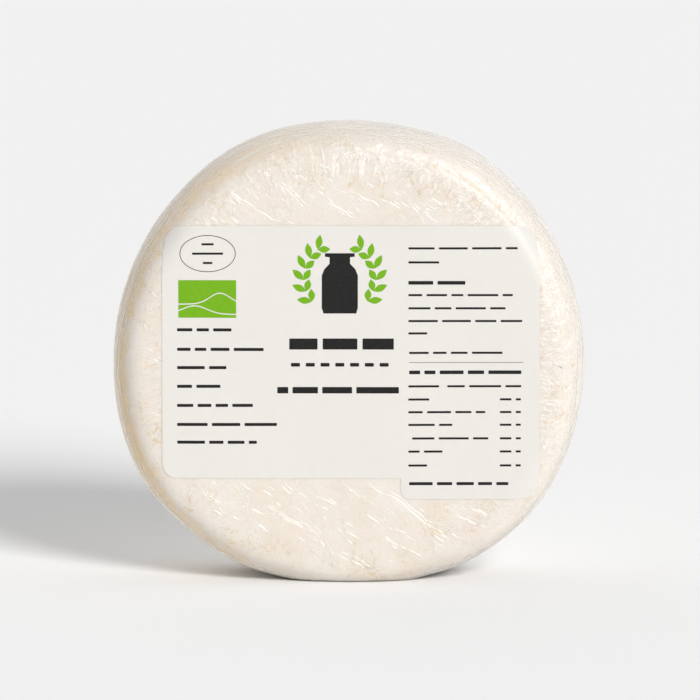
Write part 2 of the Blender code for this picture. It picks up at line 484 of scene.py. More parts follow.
def under_label(x, z):
    """True where the label presses the film flat."""
    right_part = x > TAB_LEFT - PRESSED_MARGIN and z > TAB_BOTTOM - PRESSED_MARGIN
    main_part = x > LABEL_LEFT - PRESSED_MARGIN and z > LABEL_BOTTOM - PRESSED_MARGIN
    return x < LABEL_RIGHT + PRESSED_MARGIN and z < LABEL_TOP + PRESSED_MARGIN and (main_part or right_part)


def film_stands(angle, along, place):
    """How far the film stands out from the CAD solid's surface."""
    flat = along * out_of_round(angle)
    if along < RIM and under_label(flat * math.cos(angle), flat * math.sin(angle)):
        return FILM_LIFT
    rim_x, rim_z = RADIUS * math.cos(angle), RADIUS * math.sin(angle)
    from_rim = abs(along - RIM)
    wall = fade(from_rim, 15 * MM, 11 * MM)
    shoulder = fade(from_rim, 13 * MM, 17 * MM) * fade(from_rim, 27 * MM, 20 * MM)
    face = fade(from_rim, 18 * MM, 25 * MM)
    sway = 1.6 * MM * noise.noise(Vector((rim_x, rim_z, along)) / (14 * MM))
    ridges = ridge(Vector((rim_x / (26 * MM), rim_z / (26 * MM), (along + sway) / (1.8 * MM))), 0.45)
    cords = ridge(Vector((rim_x / (34 * MM), rim_z / (34 * MM), (along - sway + 90 * MM) / (4 * MM))), 0.35)
    pleats = ridge(Vector((rim_x / (2.4 * MM), rim_z / (2.4 * MM), along / (10 * MM))), 0.5)
    slack = noise.noise(place / (9 * MM)) * 0.5 + 0.5
    across = (place.x * math.sin(PULL_LEAN) + place.z * math.cos(PULL_LEAN)) / (5 * MM)
    down = (place.x * math.cos(PULL_LEAN) - place.z * math.sin(PULL_LEAN)) / (22 * MM)
    pulls = ridge(Vector((across, down, 3.0)), 0.3)
    stands = FILM_LIFT
    stands += wall * (RIDGE_HEIGHT * ridges + CORD_HEIGHT * cords)
    stands += shoulder * PLEAT_HEIGHT * pleats
    stands += face * (SLACK_HEIGHT * slack + PULL_HEIGHT * pulls)
    if along > RIM:
        reach = 2 * RIM - along
        gather = ridge(Vector((rim_x / (5 * MM), rim_z / (5 * MM), reach / (40 * MM))), 0.6)
        stands += GATHER_HEIGHT * gather * fade(reach, 46 * MM, 8 * MM) * fade(reach, 0, 4 * MM)
    return stands


film_lengths = (
    lengths_between(0, RIM - WALL_FROM, FACE_STEP)
    + lengths_between(RIM - WALL_FROM, RIM + WALL_FROM, WALL_STEP)
    + lengths_between(RIM + WALL_FROM, 2 * RIM, BACK_STEP)
    + [2 * RIM]
)
film = turned("clear_film", film_lengths, FILM_TURNS)
set_shape(film, film_stands)
film.data.calc_loop_triangles()
print("film:", len(film.data.loop_triangles), "triangles")

# %% [markdown]
# Cling film is a stretched sheet of clear plastic about a hundredth of a millimetre thick. Almost all light
# goes straight through it, a little mirrors off it, and more does where it is seen edge on. So the material
# is clear and glossy. The mix goes up with the fifth power of how edge on the film is, which is the same
# from both sides, because light has to come back out through it as easily as it went in. Where it is
# crumpled or stands off the cheese it also looks milky. Round the wall that shows as fine lines along the
# rim, which cross at low angles, so a thin diffuse veil is mixed in along two sets of lines, where
# stretched noise crosses its middle value. At the shoulder it shows as short feathers that point at the
# face. They are strongest at the upper right, partly as the crumpled film and partly as a painted
# highlight: their milk is whitest where the lamp's reflection falls. There it also bridges the edge of the
# face, which spreads the lamp's reflection into a soft band. On the faces the veil comes in patches with
# straightish edges, where the film clings to the rind or lifts off it.

# %% Finish the film
LINE_PITCH = 2.4 * MM  # across the wall; seen from the front it is foreshortened to about a fifth
CROSSING_PITCH = 1.1 * MM
LINE_RUN = 32 * MM
LINE_SWAY = 14 * MM
FEATHER_WIDTH, FEATHER_LENGTH = 1.7 * MM, 6.0 * MM
DENT_SIZE = 3.2 * MM
RAGGED_SIZE, RAGGED_REACH = 3.0 * MM, 9 * MM
FACET_SIZE, FACET_BEND = 6.5 * MM, 1.5 * MM
# How far from the rim the film leaves the cheese, stands fully off it, and settles again
LIFTS_OFF, STANDS_OFF = 24.5 * MM, 20.5 * MM
SETTLES_FROM, SETTLES_TO = 18.6 * MM, 15.2 * MM
BRIDGE_HEIGHT = 1.2 * MM
FACE_ON_MIRROR = 0.07  # the share of light that both sides of the film together mirror, seen straight on
CRUMPLED_MIRROR = 0.03  # how much more of it the folded layers at the shoulder mirror


def join_layers(tree, veil, milk_colour, gloss, face_on, edge_on, crumpled_and_highlight):
    """Joins clear film, a milky veil and a gloss that mirrors this share face on and this share edge on."""
    milk = add(tree, "BsdfDiffuse", {"Color": linear(milk_colour)})
    veiled = add(tree, "MixShader", {0: veil, 1: add(tree, "BsdfTransparent"), 2: milk})
    facing = add(tree, "LayerWeight", {"Blend": 0.5}).outputs["Facing"]
    fifth_power = add(tree, "Math", {0: facing, 1: 5.0}, operation="POWER")
    smooth = add(tree, "MapRange", {0: fifth_power, 3: face_on, 4: edge_on})
    mirror = add(tree, "Math", {0: crumpled_and_highlight, 1: CRUMPLED_MIRROR, 2: smooth}, operation="MULTIPLY_ADD")
    skin = add(tree, "MixShader", {0: mirror, 1: veiled, 2: gloss})
    add(tree, "OutputMaterial", {"Surface": skin})


cling, tree = empty_material("stretched clear cling film")
place = add(tree, "TexCoord").outputs["Object"]
around = add(tree, "Attribute", attribute_name="around").outputs["Vector"]
along = add(tree, "SeparateXYZ", {0: around}).outputs["Z"]
off_rim = add(tree, "Math", {0: along, 1: RIM}, operation="SUBTRACT")
from_rim = add(tree, "Math", {0: off_rim}, operation="ABSOLUTE")

sway = add(tree, "TexNoise", {"Vector": around, "Scale": 1 / (18 * MM), "Detail": 1.0})


def film_lines(pitch, lean):
    """Thin lines that run along the rim this far apart and sway by this much, as a share from 0 to 1."""
    leaning = add(tree, "VectorMath", {0: sway, 1: (0, 0, lean), 2: around}, operation="MULTIPLY_ADD")
    scale = (1 / LINE_RUN, 1 / LINE_RUN, 1 / pitch)
    stretched = add(tree, "VectorMath", {0: leaning, 1: scale}, operation="MULTIPLY")
    value = add(tree, "TexNoise", {"Vector": stretched, "Scale": 1.0, "Detail": 2.0})
    centred = add(tree, "Math", {0: value, 1: 0.5}, operation="SUBTRACT")
    off_line = add(tree, "Math", {0: centred}, operation="ABSOLUTE")
    return add(tree, "MapRange", {0: off_line, 1: 0.0, 2: 0.055, 3: 1.0, 4: 0.0})


along_rim, crossing = film_lines(LINE_PITCH, LINE_SWAY), film_lines(CROSSING_PITCH, -LINE_SWAY)
lines = add(tree, "Math", {0: along_rim, 1: crossing}, operation="MAXIMUM")
line_veil = add(tree, "MapRange", {0: lines, 3: 0.12, 4: 1.0})
ragged = add(tree, "TexNoise", {"Vector": place, "Scale": 1 / RAGGED_SIZE, "Detail": 4.0, "Roughness": 0.6})
ragged_edge = add(tree, "Math", {0: ragged, 1: RAGGED_REACH, 2: from_rim}, operation="MULTIPLY_ADD")
on_wall = add(tree, "MapRange", {0: ragged_edge, 1: 18.5 * MM, 2: 17 * MM})
wall_veil = add(tree, "Math", {0: on_wall, 1: line_veil}, operation="MULTIPLY")

folds = add(tree, "TexNoise", {"Vector": place, "Scale": 1 / RAGGED_SIZE, "Detail": 2.0})
folding = add(tree, "VectorMath", {0: folds.outputs["Color"], "Scale": FACET_BEND}, operation="SCALE")
shifted = add(tree, "VectorMath", {0: place, 1: folding}, operation="ADD")
facets = add(tree, "TexVoronoi", {"Vector": shifted, "Scale": 1 / FACET_SIZE})
clinging = add(tree, "MapRange", {0: facets.outputs["Color"], 1: 0.2, 2: 0.9, 3: 0.02, 4: 0.06})
patched_veil = add(tree, "Math", {0: wall_veil, 1: 0.68, 2: clinging}, operation="MULTIPLY_ADD")

feather_scale = (1 / FEATHER_WIDTH, 1 / FEATHER_WIDTH, 1 / FEATHER_LENGTH)
feather_place = add(tree, "VectorMath", {0: around, 1: feather_scale}, operation="MULTIPLY")
feathers = add(tree, "TexNoise", {"Vector": feather_place, "Scale": 1.0, "Detail": 1.5, "Distortion": 0.9})
shoulder_in = add(tree, "MapRange", {0: from_rim, 1: 26 * MM, 2: 22 * MM, 3: 0.12, 4: 1.0})
shoulder_out = add(tree, "MapRange", {0: from_rim, 1: 10 * MM, 2: 15 * MM, 3: 0.25, 4: 1.0})
# Painted highlight in part: the shoulder's crumpling, milk and extra gloss rise towards the upper right,
# where the lamp's reflection falls.
upper_right = add(tree, "VectorMath", {0: place, 1: (0.55, 0.0, 0.83)}, operation="DOT_PRODUCT")
upper_right_highlight_share = add(tree, "MapRange", {0: upper_right, 1: 12 * MM, 2: 62 * MM, 3: 0.10, 4: 1.0})
shoulder = add(tree, "Math", {0: shoulder_in, 1: shoulder_out}, operation="MULTIPLY")
crumpled_and_highlight = add(tree, "Math", {0: shoulder, 1: upper_right_highlight_share}, operation="MULTIPLY")
crest = add(tree, "MapRange", {0: feathers, 1: 0.46, 2: 0.66, 3: 0.0, 4: 0.15})
veil = add(tree, "Math", {0: crest, 1: crumpled_and_highlight, 2: patched_veil}, operation="MULTIPLY_ADD")
dents = add(tree, "TexNoise", {"Vector": place, "Scale": 1 / DENT_SIZE, "Detail": 1.0, "Distortion": 0.8})
feathered = add(tree, "Math", {0: feathers, 1: -6 * MM, 2: from_rim}, operation="MULTIPLY_ADD")
lift_off = add(
    tree, "MapRange", {0: feathered, 1: LIFTS_OFF - 3 * MM, 2: STANDS_OFF - 3 * MM, 3: 1.0, 4: 0.0}
)
settle = add(tree, "MapRange", {0: from_rim, 1: SETTLES_FROM, 2: SETTLES_TO, 3: 0.0, 4: 1.0})
bridge = add(tree, "Math", {0: lift_off, 1: settle}, operation="ADD")
bridge_bump = add(tree, "Bump", {"Height": bridge, "Distance": BRIDGE_HEIGHT, "Strength": 1.0})
dent_bump = add(
    tree, "Bump", {"Height": dents, "Distance": 0.6 * MM, "Strength": crumpled_and_highlight, "Normal": bridge_bump}
)
feather_bump = add(
    tree, "Bump", {"Height": feathers, "Distance": 0.12 * MM, "Strength": crumpled_and_highlight, "Normal": dent_bump}
)
streak_bump = add(
    tree, "Bump", {"Height": lines, "Distance": 0.2 * MM, "Strength": on_wall, "Normal": feather_bump}
)
sharp = add(tree, "BsdfGlossy", {"Color": linear("ffffff"), "Roughness": 0.30, "Normal": streak_bump})
broad_sheen = add(tree, "BsdfGlossy", {"Color": linear("ffffff"), "Roughness": 0.57, "Normal": streak_bump})
gloss = add(tree, "MixShader", {0: 0.93, 1: sharp, 2: broad_sheen})
join_layers(tree, veil, "faf5ec", gloss, FACE_ON_MIRROR, 0.5, crumpled_and_highlight)
film.data.materials.append(cling)
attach(film, "root")
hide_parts("wrapped_cheese")
print("film lines at", LINE_PITCH / MM, "and", CROSSING_PITCH / MM, "mm")

# %% [markdown]
# The label was cut flat with rounded corners and a tab at its lower right, and then pressed on. Paper
# doesn't stretch, so each of its points keeps its distance from the middle, measured along the surface.
# That is why its right corners, which hang over the shoulder, look pulled in. It is drawn flat as an
# outline, its corners are bevelled, it is cut into small cells so that it can bend, and then every vertex
# is pressed onto the wheel.

# %% Press flat things onto the wheel
LABEL_CELL = 1.0 * MM
NEARBY = 0.05 * MM


def pressed(x, z):
    """Where a flat point this far right of and above the wheel's middle ends up, from the wheel's middle."""
    angle = math.atan2(z, x)
    return slumped(*at_length(math.hypot(x, z) / out_of_round(angle)), angle)


def on_front(x, z, lift):
    """The same point in the frame, lifted off the CAD solid's surface."""
    here, right, up = pressed(x, z), pressed(x + NEARBY, z), pressed(x, z + NEARBY)
    outwards = (right - here).cross(up - here).normalized()
    return WHEEL_MIDDLE + here + outwards * lift


def cut_and_press(piece, cell, lift):
    """Cuts a flat shape, drawn in the plane of the front about the origin, into cells and presses it on."""
    deselect()
    bpy.context.view_layer.objects.active = piece
    piece.select_set(True)
    corners = [vert.co.copy() for vert in piece.data.vertices]
    bpy.ops.object.mode_set(mode="EDIT")
    for across in (Vector((1, 0, 0)), Vector((0, 0, 1))):
        reaches = [corner.dot(across) for corner in corners]
        for line in range(math.ceil(min(reaches) / cell), math.floor(max(reaches) / cell) + 1):
            bpy.ops.mesh.select_all(action="SELECT")
            bpy.ops.mesh.bisect(plane_co=across * line * cell, plane_no=across, threshold=SAME_POINT)
    bpy.ops.object.mode_set(mode="OBJECT")
    flat = piece.data.attributes.new("flat", "FLOAT_VECTOR", "POINT")
    flat.data.foreach_set("vector", [part for vert in piece.data.vertices for part in vert.co])
    for vert in piece.data.vertices:
        vert.co = on_front(vert.co.x, vert.co.z, lift)
    piece.data.update()
    if sum(face.normal.y for face in piece.data.polygons) > 0:
        piece.data.flip_normals()
    deselect()


print("a flat point 50 mm to the right stands", round(-pressed(50 * MM, 0).y / MM, 2), "mm in front")

# %% [markdown]
# The label's outline is a rectangle with a second one hung on its lower edge. Its inner corner is sharp, as
# the die cut it, and the others are round.

# %% Model the label
LABEL_CORNER = 3.5 * MM
TAB_CORNER = 1.9 * MM
PAPER_THICKNESS = 0.03 * MM
LABEL_LIFT = -0.09 * MM  # of the paper's printed side off the CAD solid's surface
FACING_FRONT = (math.radians(90), 0, 0)  # turns a primitive that lies flat to stand upright and face -Y


def plane_between(left, right, bottom, top):
    """Adds a flat rectangle in the plane of the front: as a new object, or to the mesh being edited."""
    middle = ((left + right) / 2, 0, (bottom + top) / 2)
    bpy.ops.mesh.primitive_plane_add(size=1, location=middle, rotation=FACING_FRONT)
    bpy.ops.transform.resize(value=(right - left, 1, top - bottom), center_override=middle)


def select_verts(piece, is_picked):
    """In edit mode, selects just the vertices that is_picked picks by x and z, and the edges between them."""
    bpy.ops.mesh.select_mode(type="VERT")
    bpy.ops.mesh.select_all(action="DESELECT")
    bm = bmesh.from_edit_mesh(piece.data)
    for vert in bm.verts:
        vert.select_set(bool(is_picked(vert.co.x, vert.co.z)))
    bm.select_flush(True)
    bmesh.update_edit_mesh(piece.data)


deselect()
plane_between(LABEL_LEFT, LABEL_RIGHT, LABEL_BOTTOM, LABEL_TOP)
label = bpy.context.object
label.name = label.data.name = "paper_label"
bpy.ops.object.transform_apply(location=True, rotation=True, scale=True)
bpy.ops.object.mode_set(mode="EDIT")
bpy.ops.mesh.select_all(action="SELECT")
bpy.ops.mesh.bisect(plane_co=(TAB_LEFT, 0, 0), plane_no=(1, 0, 0))
select_verts(label, lambda x, z: x > TAB_LEFT - SAME_POINT and z < LABEL_BOTTOM + SAME_POINT)
bpy.ops.mesh.extrude_region_move(TRANSFORM_OT_translate={"value": (0, 0, TAB_BOTTOM - LABEL_BOTTOM)})
bpy.ops.mesh.select_all(action="SELECT")
bpy.ops.mesh.dissolve_limited(angle_limit=math.radians(1))
select_verts(label, lambda x, z: abs(x - TAB_LEFT) > MM)
bpy.ops.mesh.bevel(offset=LABEL_CORNER, segments=8, affect="VERTICES")
select_verts(label, lambda x, z: abs(x - TAB_LEFT) < SAME_POINT and abs(z - TAB_BOTTOM) < SAME_POINT)
bpy.ops.mesh.bevel(offset=TAB_CORNER, segments=6, affect="VERTICES")
bpy.ops.object.mode_set(mode="OBJECT")
print("label outline:", len(label.data.vertices), "corners")
cut_and_press(label, LABEL_CELL, LABEL_LIFT - PAPER_THICKNESS)
thick = label.modifiers.new("paper thickness", "SOLIDIFY")
thick.thickness, thick.offset = PAPER_THICKNESS, 1.0
bpy.context.view_layer.objects.active = label
bpy.ops.object.modifier_apply(modifier=thick.name)
label.select_set(True)
bpy.ops.object.shade_smooth_by_angle(angle=math.radians(40))  # smooth across the paper, sharp at its cut edge
deselect()
print("label:", len(label.data.polygons), "faces")

# %% [markdown]
# Label stock is coated paper: smooth, slightly glossy, and not quite flat, since the film under it is
# uneven. Its fibres only just show, as a faint cloudiness.

# %% Finish the label
PAPER_WHITE = linear("e0dcd7")
PAPER_CLOUD = linear("dcd8d2")
CLOUD_SIZE, FIBRE_SIZE = 2.5 * MM, 0.4 * MM

coated, tree = empty_material("coated white label paper")
place = add(tree, "TexCoord").outputs["Object"]
clouds = add(tree, "TexNoise", {"Vector": place, "Scale": 1 / CLOUD_SIZE, "Detail": 4.0})
cloudy = add(tree, "Mix", {FACTOR: clouds, COLOUR_A: PAPER_WHITE, COLOUR_B: PAPER_CLOUD}, data_type="RGBA")
fibres = add(tree, "TexNoise", {"Vector": place, "Scale": 1 / FIBRE_SIZE, "Detail": 3.0})
tooth = add(tree, "Bump", {"Height": fibres, "Distance": 0.02 * MM, "Strength": 0.3})
paper = add(
    tree,
    "BsdfPrincipled",
    {"Base Color": cloudy, "Roughness": 0.42, "Specular IOR Level": 0.5, "Normal": tooth},
)
add(tree, "OutputMaterial", {"Surface": paper})
label.data.materials.append(coated)
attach(label, "root")
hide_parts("label")
print("label paper: clouds at", CLOUD_SIZE / MM, "mm, fibres at", FIBRE_SIZE / MM, "mm")

# %% [markdown]
# The print is kept generic: rows of bars the length of words where a label has words, a green panel with
# two white hill lines, an oval outline, and a milk churn between two sprigs. Ink has no thickness to speak
# of, so each colour is one flat piece that lies a hair above the paper and bends with it.

# %% Print the rows of words
INK_LIFT = LABEL_LIFT + 0.02 * MM
INK_CELL = 1.5 * MM
WORD_GAP = 1.0 * MM
SHORTEST_WORD = 1.8 * MM
LONGEST_WORD = 7.5 * MM
dice = random.Random(4)


def words(left, right):
    """Splits a row into word-like stretches, as (left, right) pairs."""
    stretches = []
    while right - left > SHORTEST_WORD:
        end = left + dice.uniform(SHORTEST_WORD * 1.3, LONGEST_WORD)
        if right - end < WORD_GAP + SHORTEST_WORD:
            end = right
        stretches.append((left, end))
        left = end + WORD_GAP
    return stretches


def row_of_words(left, right, z, tall):
    """Adds the bars of one row to the mesh being edited."""
    for start, end in words(left, right):
        plane_between(start, end, z - tall / 2, z + tall / 2)


SMALL, BODY, BOLD = 0.5 * MM, 0.72 * MM, 0.85 * MM  # how tall the rows are
# Rows of the three columns in mm, right of and above the wheel's middle: (left, right, height, how tall)
ROWS = (
    (-40.2, -27.5, 8.4, BODY), (-40.2, -20.0, 3.8, BODY), (-40.2, -28.7, -0.5, BODY),
    (-40.2, -30.1, -4.9, BODY), (-40.2, -22.5, -9.4, BODY), (-40.2, -16.9, -13.9, BODY),
    (-40.2, -21.6, -18.1, BODY), (13.8, 39.3, 27.6, SMALL), (13.8, 21.0, 24.3, SMALL),
    (13.8, 27.1, 19.5, BOLD), (13.8, 38.2, 16.6, SMALL), (13.8, 36.5, 13.5, SMALL), (13.8, 40.4, 10.5, SMALL),
    (13.8, 18.2, 7.6, SMALL), (14.0, 35.8, 3.0, SMALL), (14.0, 40.2, -1.6, BOLD), (13.8, 21.0, -4.9, SMALL),
    (22.9, 40.2, -4.9, SMALL), (13.8, 18.7, -8.0, SMALL), (13.8, 31.8, -11.0, SMALL),
    (13.8, 24.1, -14.0, SMALL), (14.7, 32.5, -17.2, SMALL), (13.8, 21.8, -20.3, SMALL),
    (13.8, 18.2, -23.6, SMALL), (14.0, 37.2, -27.9, BODY),
)
AMOUNTS = (-8.0, -11.0, -14.0, -17.2, -20.3, -23.6)  # rows with an amount and a unit at the right
deselect()
plane_between(14.0 * MM, 40.7 * MM, 0.66 * MM, 0.76 * MM)  # the thin rule above the table
black = bpy.context.object
black.name = black.data.name = "dark_print"
bpy.ops.object.transform_apply(location=True, rotation=True, scale=True)
bpy.ops.object.mode_set(mode="EDIT")
for left, right, height, tall in ROWS:
    row_of_words(left * MM, right * MM, height * MM, tall)
for height in AMOUNTS:
    for left, right in ((35.2, 37.9), (38.9, 40.1)):
        plane_between(left * MM, right * MM, height * MM - SMALL / 2, height * MM + SMALL / 2)

# %% [markdown]
# The middle of the label has the large print: one heavy row, a row of spaced marks under it and a third
# row. The heavy row's corners are rounded with the others by one vertex bevel, as a printer's rounded bars
# are.

# %% Print the large rows
HEAVY_TALL = 2.6 * MM
for left, right in ((-14.0, -7.4), (-6.2, 1.9), (3.1, 10.4)):
    plane_between(left * MM, right * MM, 5.1 * MM - HEAVY_TALL / 2, 5.1 * MM + HEAVY_TALL / 2)
SPACED_MARKS = 7
for mark in range(SPACED_MARKS):
    left = (-13.6 + mark * 3.45) * MM
    plane_between(left, left + 2.1 * MM, 0.2 * MM - BOLD / 2, 0.2 * MM + BOLD / 2)
row_of_words(-16.8 * MM, 11.6 * MM, -5.8 * MM, 1.5 * MM)
bpy.ops.mesh.select_all(action="SELECT")
bpy.ops.mesh.bevel(offset=0.16 * MM, segments=3, affect="VERTICES")
print("dark rows:", len(bmesh.from_edit_mesh(black.data).faces), "bars")

# %% [markdown]
# The oval is a circle squashed to its size, inset by a thin line, and left without its middle. The churn
# grows from its foot as a row of extrusions, each of which is widened or narrowed.

# %% Draw the oval and the churn
OVAL_MIDDLE = Vector((-33.05, 0, 26.35)) * MM
OVAL_SIZE = Vector((6.55, 0, 4.35)) * MM
OVAL_LINE = 0.16 * MM

bpy.ops.mesh.select_mode(type="FACE")
bpy.ops.mesh.select_all(action="DESELECT")
bpy.ops.mesh.primitive_circle_add(
    vertices=48, radius=1, fill_type="NGON", location=OVAL_MIDDLE, rotation=FACING_FRONT
)
bpy.ops.transform.resize(value=OVAL_SIZE, center_override=OVAL_MIDDLE)
bpy.ops.mesh.inset(thickness=OVAL_LINE)
bpy.ops.mesh.delete(type="FACE")
x, _, z = OVAL_MIDDLE
for row, half in ((2.2 * MM, 1.4 * MM), (0.0, 3.6 * MM), (-2.2 * MM, 1.1 * MM)):
    plane_between(x - half, x + half, z + row - SMALL / 2, z + row + SMALL / 2)

CHURN_X = -2.2 * MM
CHURN_FOOT = 12.6 * MM
# The churn's outline grows by extruding the upper edge: (rise in mm, width as a share of the edge before)
CHURN_STEPS = ((1.0, 1.08), (7.6, 1.0), (1.5, 0.86), (1.3, 0.66), (1.5, 1.0), (0.15, 1.45), (0.8, 1.0))
bpy.ops.mesh.select_all(action="DESELECT")
plane_between(CHURN_X - 3.9 * MM, CHURN_X + 3.9 * MM, CHURN_FOOT - 0.3 * MM, CHURN_FOOT)
level = CHURN_FOOT
for rise, share in CHURN_STEPS:
    if level == CHURN_FOOT:
        bm = bmesh.from_edit_mesh(black.data)
        bpy.ops.mesh.select_mode(type="EDGE")
        for edge in bm.edges:
            middle = (edge.verts[0].co + edge.verts[1].co) / 2
            edge.select_set(abs(middle.z - level) < SAME_POINT and abs(middle.x - CHURN_X) < MM)
        bmesh.update_edit_mesh(black.data)
    bpy.ops.mesh.extrude_edges_move(TRANSFORM_OT_translate={"value": (0, 0, rise * MM)})
    bpy.ops.transform.resize(value=(share, 1, 1), center_override=(CHURN_X, 0, 0))
    level += rise * MM
bpy.ops.object.mode_set(mode="OBJECT")
cut_and_press(black, INK_CELL, INK_LIFT)
print("dark print:", len(black.data.polygons), "faces")

# %% [markdown]
# The green ink has its own piece: the panel at the upper left, and the leaves of two sprigs that curve up
# either side of the churn. The panel is printed as three bands with bare paper between them, which draws
# two hills. A leaf is the space between two shallow arcs.

# %% Print the green
PANEL_LEFT, PANEL_RIGHT, PANEL_LOW, PANEL_HIGH = -39.9 * MM, -26.4 * MM, 11.25 * MM, 20.1 * MM
PANEL_COLUMNS = 24
SHARES = [column / PANEL_COLUMNS for column in range(PANEL_COLUMNS + 1)]  # across the panel
HILL_LINE = 0.28 * MM
# The hills: (ground above the panel's foot in mm, height in mm, where the top is and how wide as shares)
HILLS = ((0.8, 2.0, 0.28, 0.3), (3.2, 2.6, 0.72, 0.25))
LEAVES = ((46, 3.6 * MM), (124, 2.9 * MM))  # each pair's lean from the sprig in degrees, and length
LEAF_WIDTH = 1.6 * MM
LEAF_STEPS = 7
SPRIG_REACH = 8.4 * MM
SPRIG_MIDDLE = Vector((CHURN_X, 0, 20.6 * MM))


def hill(share, ground, height, top, width):
    """How high the hill's line runs in the panel at this share of the panel's width."""
    return PANEL_LOW + (ground + height * math.exp(-(((share - top) / width) ** 2))) * MM


def band(bm, lower, upper):
    """Adds a strip of faces between two rows of heights across the panel."""
    rows = []
    for heights in (lower, upper):
        xs = [PANEL_LEFT + (PANEL_RIGHT - PANEL_LEFT) * share for share in SHARES]
        rows.append([bm.verts.new((x, 0, z)) for x, z in zip(xs, heights)])
    for column in range(PANEL_COLUMNS):
        bm.faces.new([rows[0][column], rows[0][column + 1], rows[1][column + 1], rows[1][column]])


def leaf(bm, foot, heading, length):
    """Adds a pointed leaf that grows from foot in this direction."""
    along = Vector((math.cos(heading), 0, math.sin(heading)))
    across = Vector((-along.z, 0, along.x))
    upper, lower = [], []
    for step in range(LEAF_STEPS + 1):
        middle = foot + along * length * step / LEAF_STEPS
        swell = across * LEAF_WIDTH / 2 * math.sin(math.pi * step / LEAF_STEPS)
        upper.append(middle + swell)
        lower.append(middle - swell)
    bm.faces.new([bm.verts.new(point) for point in upper + lower[-2:0:-1]])


deselect()
green = bpy.data.objects.new("green_print", bpy.data.meshes.new("green_print"))
bpy.context.scene.collection.objects.link(green)
bpy.context.view_layer.objects.active = green
bpy.ops.object.mode_set(mode="EDIT")
bm = bmesh.from_edit_mesh(green.data)
near_hill, far_hill = ([hill(share, *shape) for share in SHARES] for shape in HILLS)
half = HILL_LINE / 2
hills = list(zip(near_hill, far_hill))
band(bm, [PANEL_LOW for _ in SHARES], [near - half for near in near_hill])
band(bm, [near + half for near in near_hill], [max(far - half, near + 2 * half) for near, far in hills])
band(bm, [max(far + half, near + 4 * half) for near, far in hills], [PANEL_HIGH for _ in SHARES])
for side in (-1, 1):
    for step in range(6):
        turn = math.radians(-40 + 18.5 * step)
        foot = SPRIG_MIDDLE + Vector((side * math.cos(turn), 0, math.sin(turn))) * SPRIG_REACH
        for lean, length in LEAVES:
            heading = turn + math.radians(lean)
            leaf(bm, foot, heading if side > 0 else math.pi - heading, length)
bmesh.update_edit_mesh(green.data)
bpy.ops.object.mode_set(mode="OBJECT")
cut_and_press(green, INK_CELL, INK_LIFT)
print("green print:", len(green.data.polygons), "faces")

# %% [markdown]
# Label ink is thin and matt, and it lets a trace of the paper's cloudiness through, so neither colour is
# quite even. Both inks are the same finish in two colours.

# %% Finish the print
INK_SPREAD_SIZE = 0.6 * MM


def printing_ink(name, colour, thin_colour):
    """A matt ink that is a little thinner in places."""
    ink, tree = empty_material(name)
    place = add(tree, "TexCoord").outputs["Object"]
    spread = add(tree, "TexNoise", {"Vector": place, "Scale": 1 / INK_SPREAD_SIZE, "Detail": 3.0})
    thin = add(tree, "MapRange", {0: spread, 1: 0.45, 2: 0.75})
    tone = add(tree, "Mix", {FACTOR: thin, COLOUR_A: colour, COLOUR_B: thin_colour}, data_type="RGBA")
    matt = add(tree, "BsdfPrincipled", {"Base Color": tone, "Roughness": 0.6, "Specular IOR Level": 0.2})
    add(tree, "OutputMaterial", {"Surface": matt})
    return ink


for piece, ink, slot in (
    (black, printing_ink("black offset printing ink", linear("1b1a1a"), linear("252423")), "label_ink"),
    (green, printing_ink("green offset printing ink", linear("6fa914"), linear("77ae20")), "label_green"),
):
    piece.data.materials.append(ink)
    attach(piece, "root")
print("print is in two inks")

# %% [markdown]
# Film that is pulled over a wheel by hand keeps sharp creases. Each is a ridge a fraction of a millimetre
# wide, and it flashes white where one of its flanks tilts towards the lamp, which is why only those that
# run down to the right stand out. They are modelled as narrow strips that lie on the film, higher along
# their middle, with flanks of about 23 degrees on the front: that is the tilt that sends the lamp's light
# to the camera.

# %% Model the creases
CREASE_STEP = 0.6 * MM
CREASE_LIFT = 0.012 * MM
# Across a crease: (share of its half width, share of its height)
CREASE_SECTION = ((-1.0, 0.0), (-0.4, 0.6), (0.0, 1.0), (0.25, 0.75), (1.0, 0.0))
KINK = math.radians(35)
KINK_CHANCE = 0.22
UNDER_LABEL = 0.1  # how high a crease stands under the label, as a share
FRONT, BACK = 1, -1
film_surface = BVHTree.FromPolygons(
    [vert.co.copy() for vert in film.data.vertices], [tuple(face.vertices) for face in film.data.polygons]
)


def on_film(x, z, side):
    """The film's (place, normal) at a flat point, whose distance from the middle runs along the surface."""
    angle = math.atan2(z, x)
    along = math.hypot(x, z) / out_of_round(angle)
    near = WHEEL_MIDDLE + slumped(*at_length(along if side == FRONT else 2 * RIM - along), angle)
    place, normal, _, _ = film_surface.find_nearest(near)
    return place, normal


